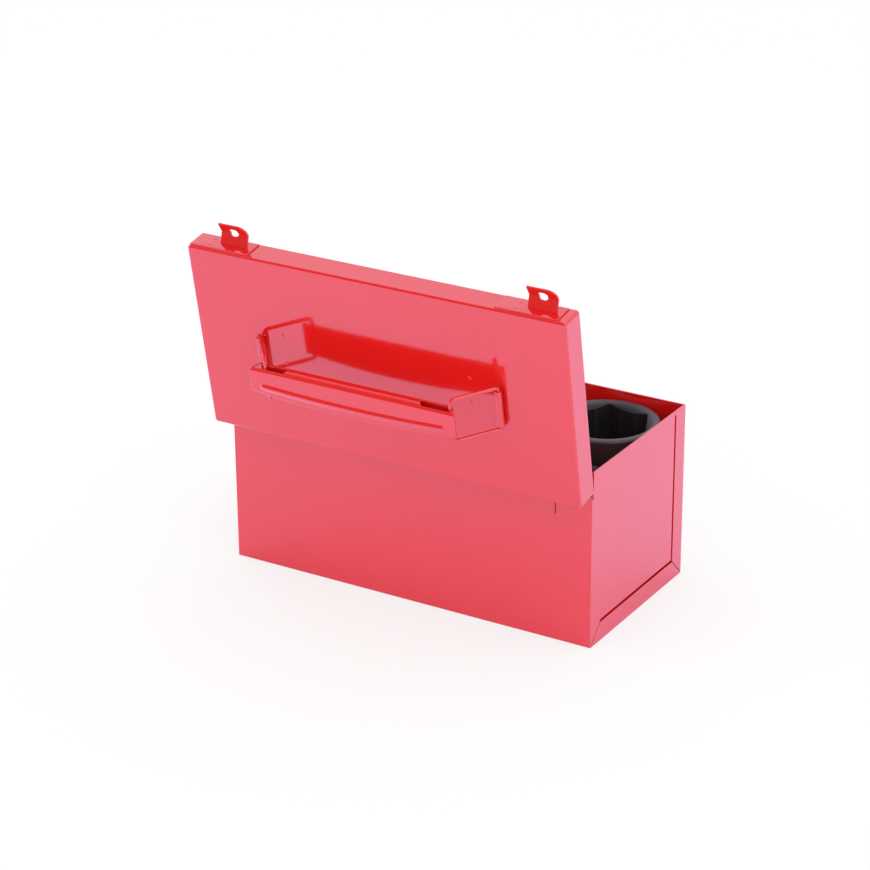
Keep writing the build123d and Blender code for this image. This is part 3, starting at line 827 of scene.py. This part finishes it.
def light_room(scene, light):
    """A white room, which the enamel mirrors cooler, and dark where a direction's product with DARK_SIDE is
    large."""
    scene.world = bpy.data.worlds.new("room")
    scene.world.use_nodes = True
    room = Sheet(scene.world.node_tree)
    ray = room.node("ShaderNodeLightPath")
    direct = {0: ray[CAMERA_RAY], 1: ray[TRANSMISSION_RAY]}
    seen = room.node("ShaderNodeMath", {"operation": "MAXIMUM"}, direct)[0]
    towards = {0: room.node("ShaderNodeTexCoord")[0], 1: DARK_SIDE}
    turned = room.node("ShaderNodeVectorMath", {"operation": "DOT_PRODUCT"}, towards)[1]
    spread = {"Value": turned, "From Min": DARK_SPREAD[0], "From Max": DARK_SPREAD[1]}
    dark = room.node("ShaderNodeMapRange", {"interpolation_type": "SMOOTHSTEP"}, spread)[0]
    mirrored = room.blend(dark, MIRRORED_ROOM, MIRRORED_DARK)
    glow = room.node("ShaderNodeBackground", {}, {
        "Color": room.blend(ray[GLOSSY_RAY], WHITE, mirrored),
        "Strength": light.sky + seen * (1.0 - light.sky)})[0]
    room.node("ShaderNodeOutputWorld", {}, {"Surface": glow})


def hang_lamps(scene, light):
    """Square soft lamps aimed at the case."""
    for name, place, size, share in LAMPS:
        lamp = bpy.data.lights.new(name, "AREA")
        lamp.shape = "SQUARE"
        lamp.size = size
        lamp.energy = light.key * share
        holder = bpy.data.objects.new(name, lamp)
        scene.collection.objects.link(holder)
        turn = (Vector(LAMP_AIM) - Vector(place)).to_track_quat("-Z", "Y").to_matrix().to_4x4()
        holder.matrix_world = Matrix.Translation(place) @ turn


def place_camera(scene):
    """The camera where the photograph was taken, from its azimuth, elevation, roll, distance and lens."""
    level = math.cos(CAMERA_ELEVATION)
    back = Vector((-math.sin(CAMERA_AZIMUTH) * level, math.cos(CAMERA_AZIMUTH) * level,
                   math.sin(CAMERA_ELEVATION)))
    right = Vector((-math.cos(CAMERA_AZIMUTH), -math.sin(CAMERA_AZIMUTH), 0.0))
    up = back.cross(right)
    rolled = math.cos(CAMERA_ROLL) * right + math.sin(CAMERA_ROLL) * up
    upright = math.cos(CAMERA_ROLL) * up - math.sin(CAMERA_ROLL) * right
    camera = bpy.data.cameras.new("camera")
    camera.sensor_width = CAMERA_SENSOR
    camera.lens = FOCAL_PIXELS / FRAME_PIXELS * CAMERA_SENSOR
    camera.shift_x = SHIFT_PIXELS[0] / FRAME_PIXELS
    camera.shift_y = SHIFT_PIXELS[1] / FRAME_PIXELS
    camera.clip_end = CAMERA_REACH
    holder = bpy.data.objects.new("camera", camera)
    scene.collection.objects.link(holder)
    turn = Matrix((rolled, upright, back)).transposed().to_4x4()
    holder.matrix_world = Matrix.Translation(Vector(CAMERA_AIM) + back * CAMERA_DISTANCE) @ turn
    scene.camera = holder


class CASE_OT_studio(bpy.types.Operator):
    """Lays the pale floor, lights the room and sets the camera where the photograph was taken"""

    bl_idname = "case.studio"
    bl_label = "Studio"

    def execute(self, context):
        scene = context.scene
        light = scene.case_studio
        lay_floor(light)
        light_room(scene, light)
        hang_lamps(scene, light)
        place_camera(scene)
        scene.view_settings.view_transform = "Standard"
        return {"FINISHED"}


class CASE_PT_panel(bpy.types.Panel):
    """Lists the case's settings and steps."""

    bl_label = "Socket Case"
    bl_idname = "CASE_PT_panel"
    bl_space_type = "VIEW_3D"
    bl_region_type = "UI"
    bl_category = "Socket Case"

    def draw(self, context):
        for group in ("case_colours", "case_sizes", "case_studio"):
            settings = getattr(context.scene, group)
            for name in type(settings).__annotations__:
                self.layout.prop(settings, name)
        for step in STEPS:
            self.layout.operator(step.bl_idname)


STEPS = (CASE_OT_enamel, CASE_OT_sockets, CASE_OT_rings, CASE_OT_grip, CASE_OT_keepers, CASE_OT_ends,
         CASE_OT_welds, CASE_OT_studio)
CLASSES = (CaseColours, CaseSizes, StudioSettings, *STEPS, CASE_PT_panel)


def register():
    """Registers the classes and hangs the settings on the scene."""
    for item in CLASSES:
        bpy.utils.register_class(item)
    bpy.types.Scene.case_colours = bpy.props.PointerProperty(type=CaseColours)
    bpy.types.Scene.case_sizes = bpy.props.PointerProperty(type=CaseSizes)
    bpy.types.Scene.case_studio = bpy.props.PointerProperty(type=StudioSettings)


def unregister():
    """Takes the settings and the classes away again."""
    del bpy.types.Scene.case_studio
    del bpy.types.Scene.case_sizes
    del bpy.types.Scene.case_colours
    for item in reversed(CLASSES):
        bpy.utils.unregister_class(item)


def main():
    """Dresses the case step by step."""
    register()
    bpy.ops.case.enamel()
    bpy.ops.case.sockets()
    bpy.ops.case.rings()
    bpy.ops.case.grip()
    bpy.ops.case.keepers()
    bpy.ops.case.ends()
    bpy.ops.case.welds()
    bpy.ops.case.studio()


if __name__ == "__main__":
    main()
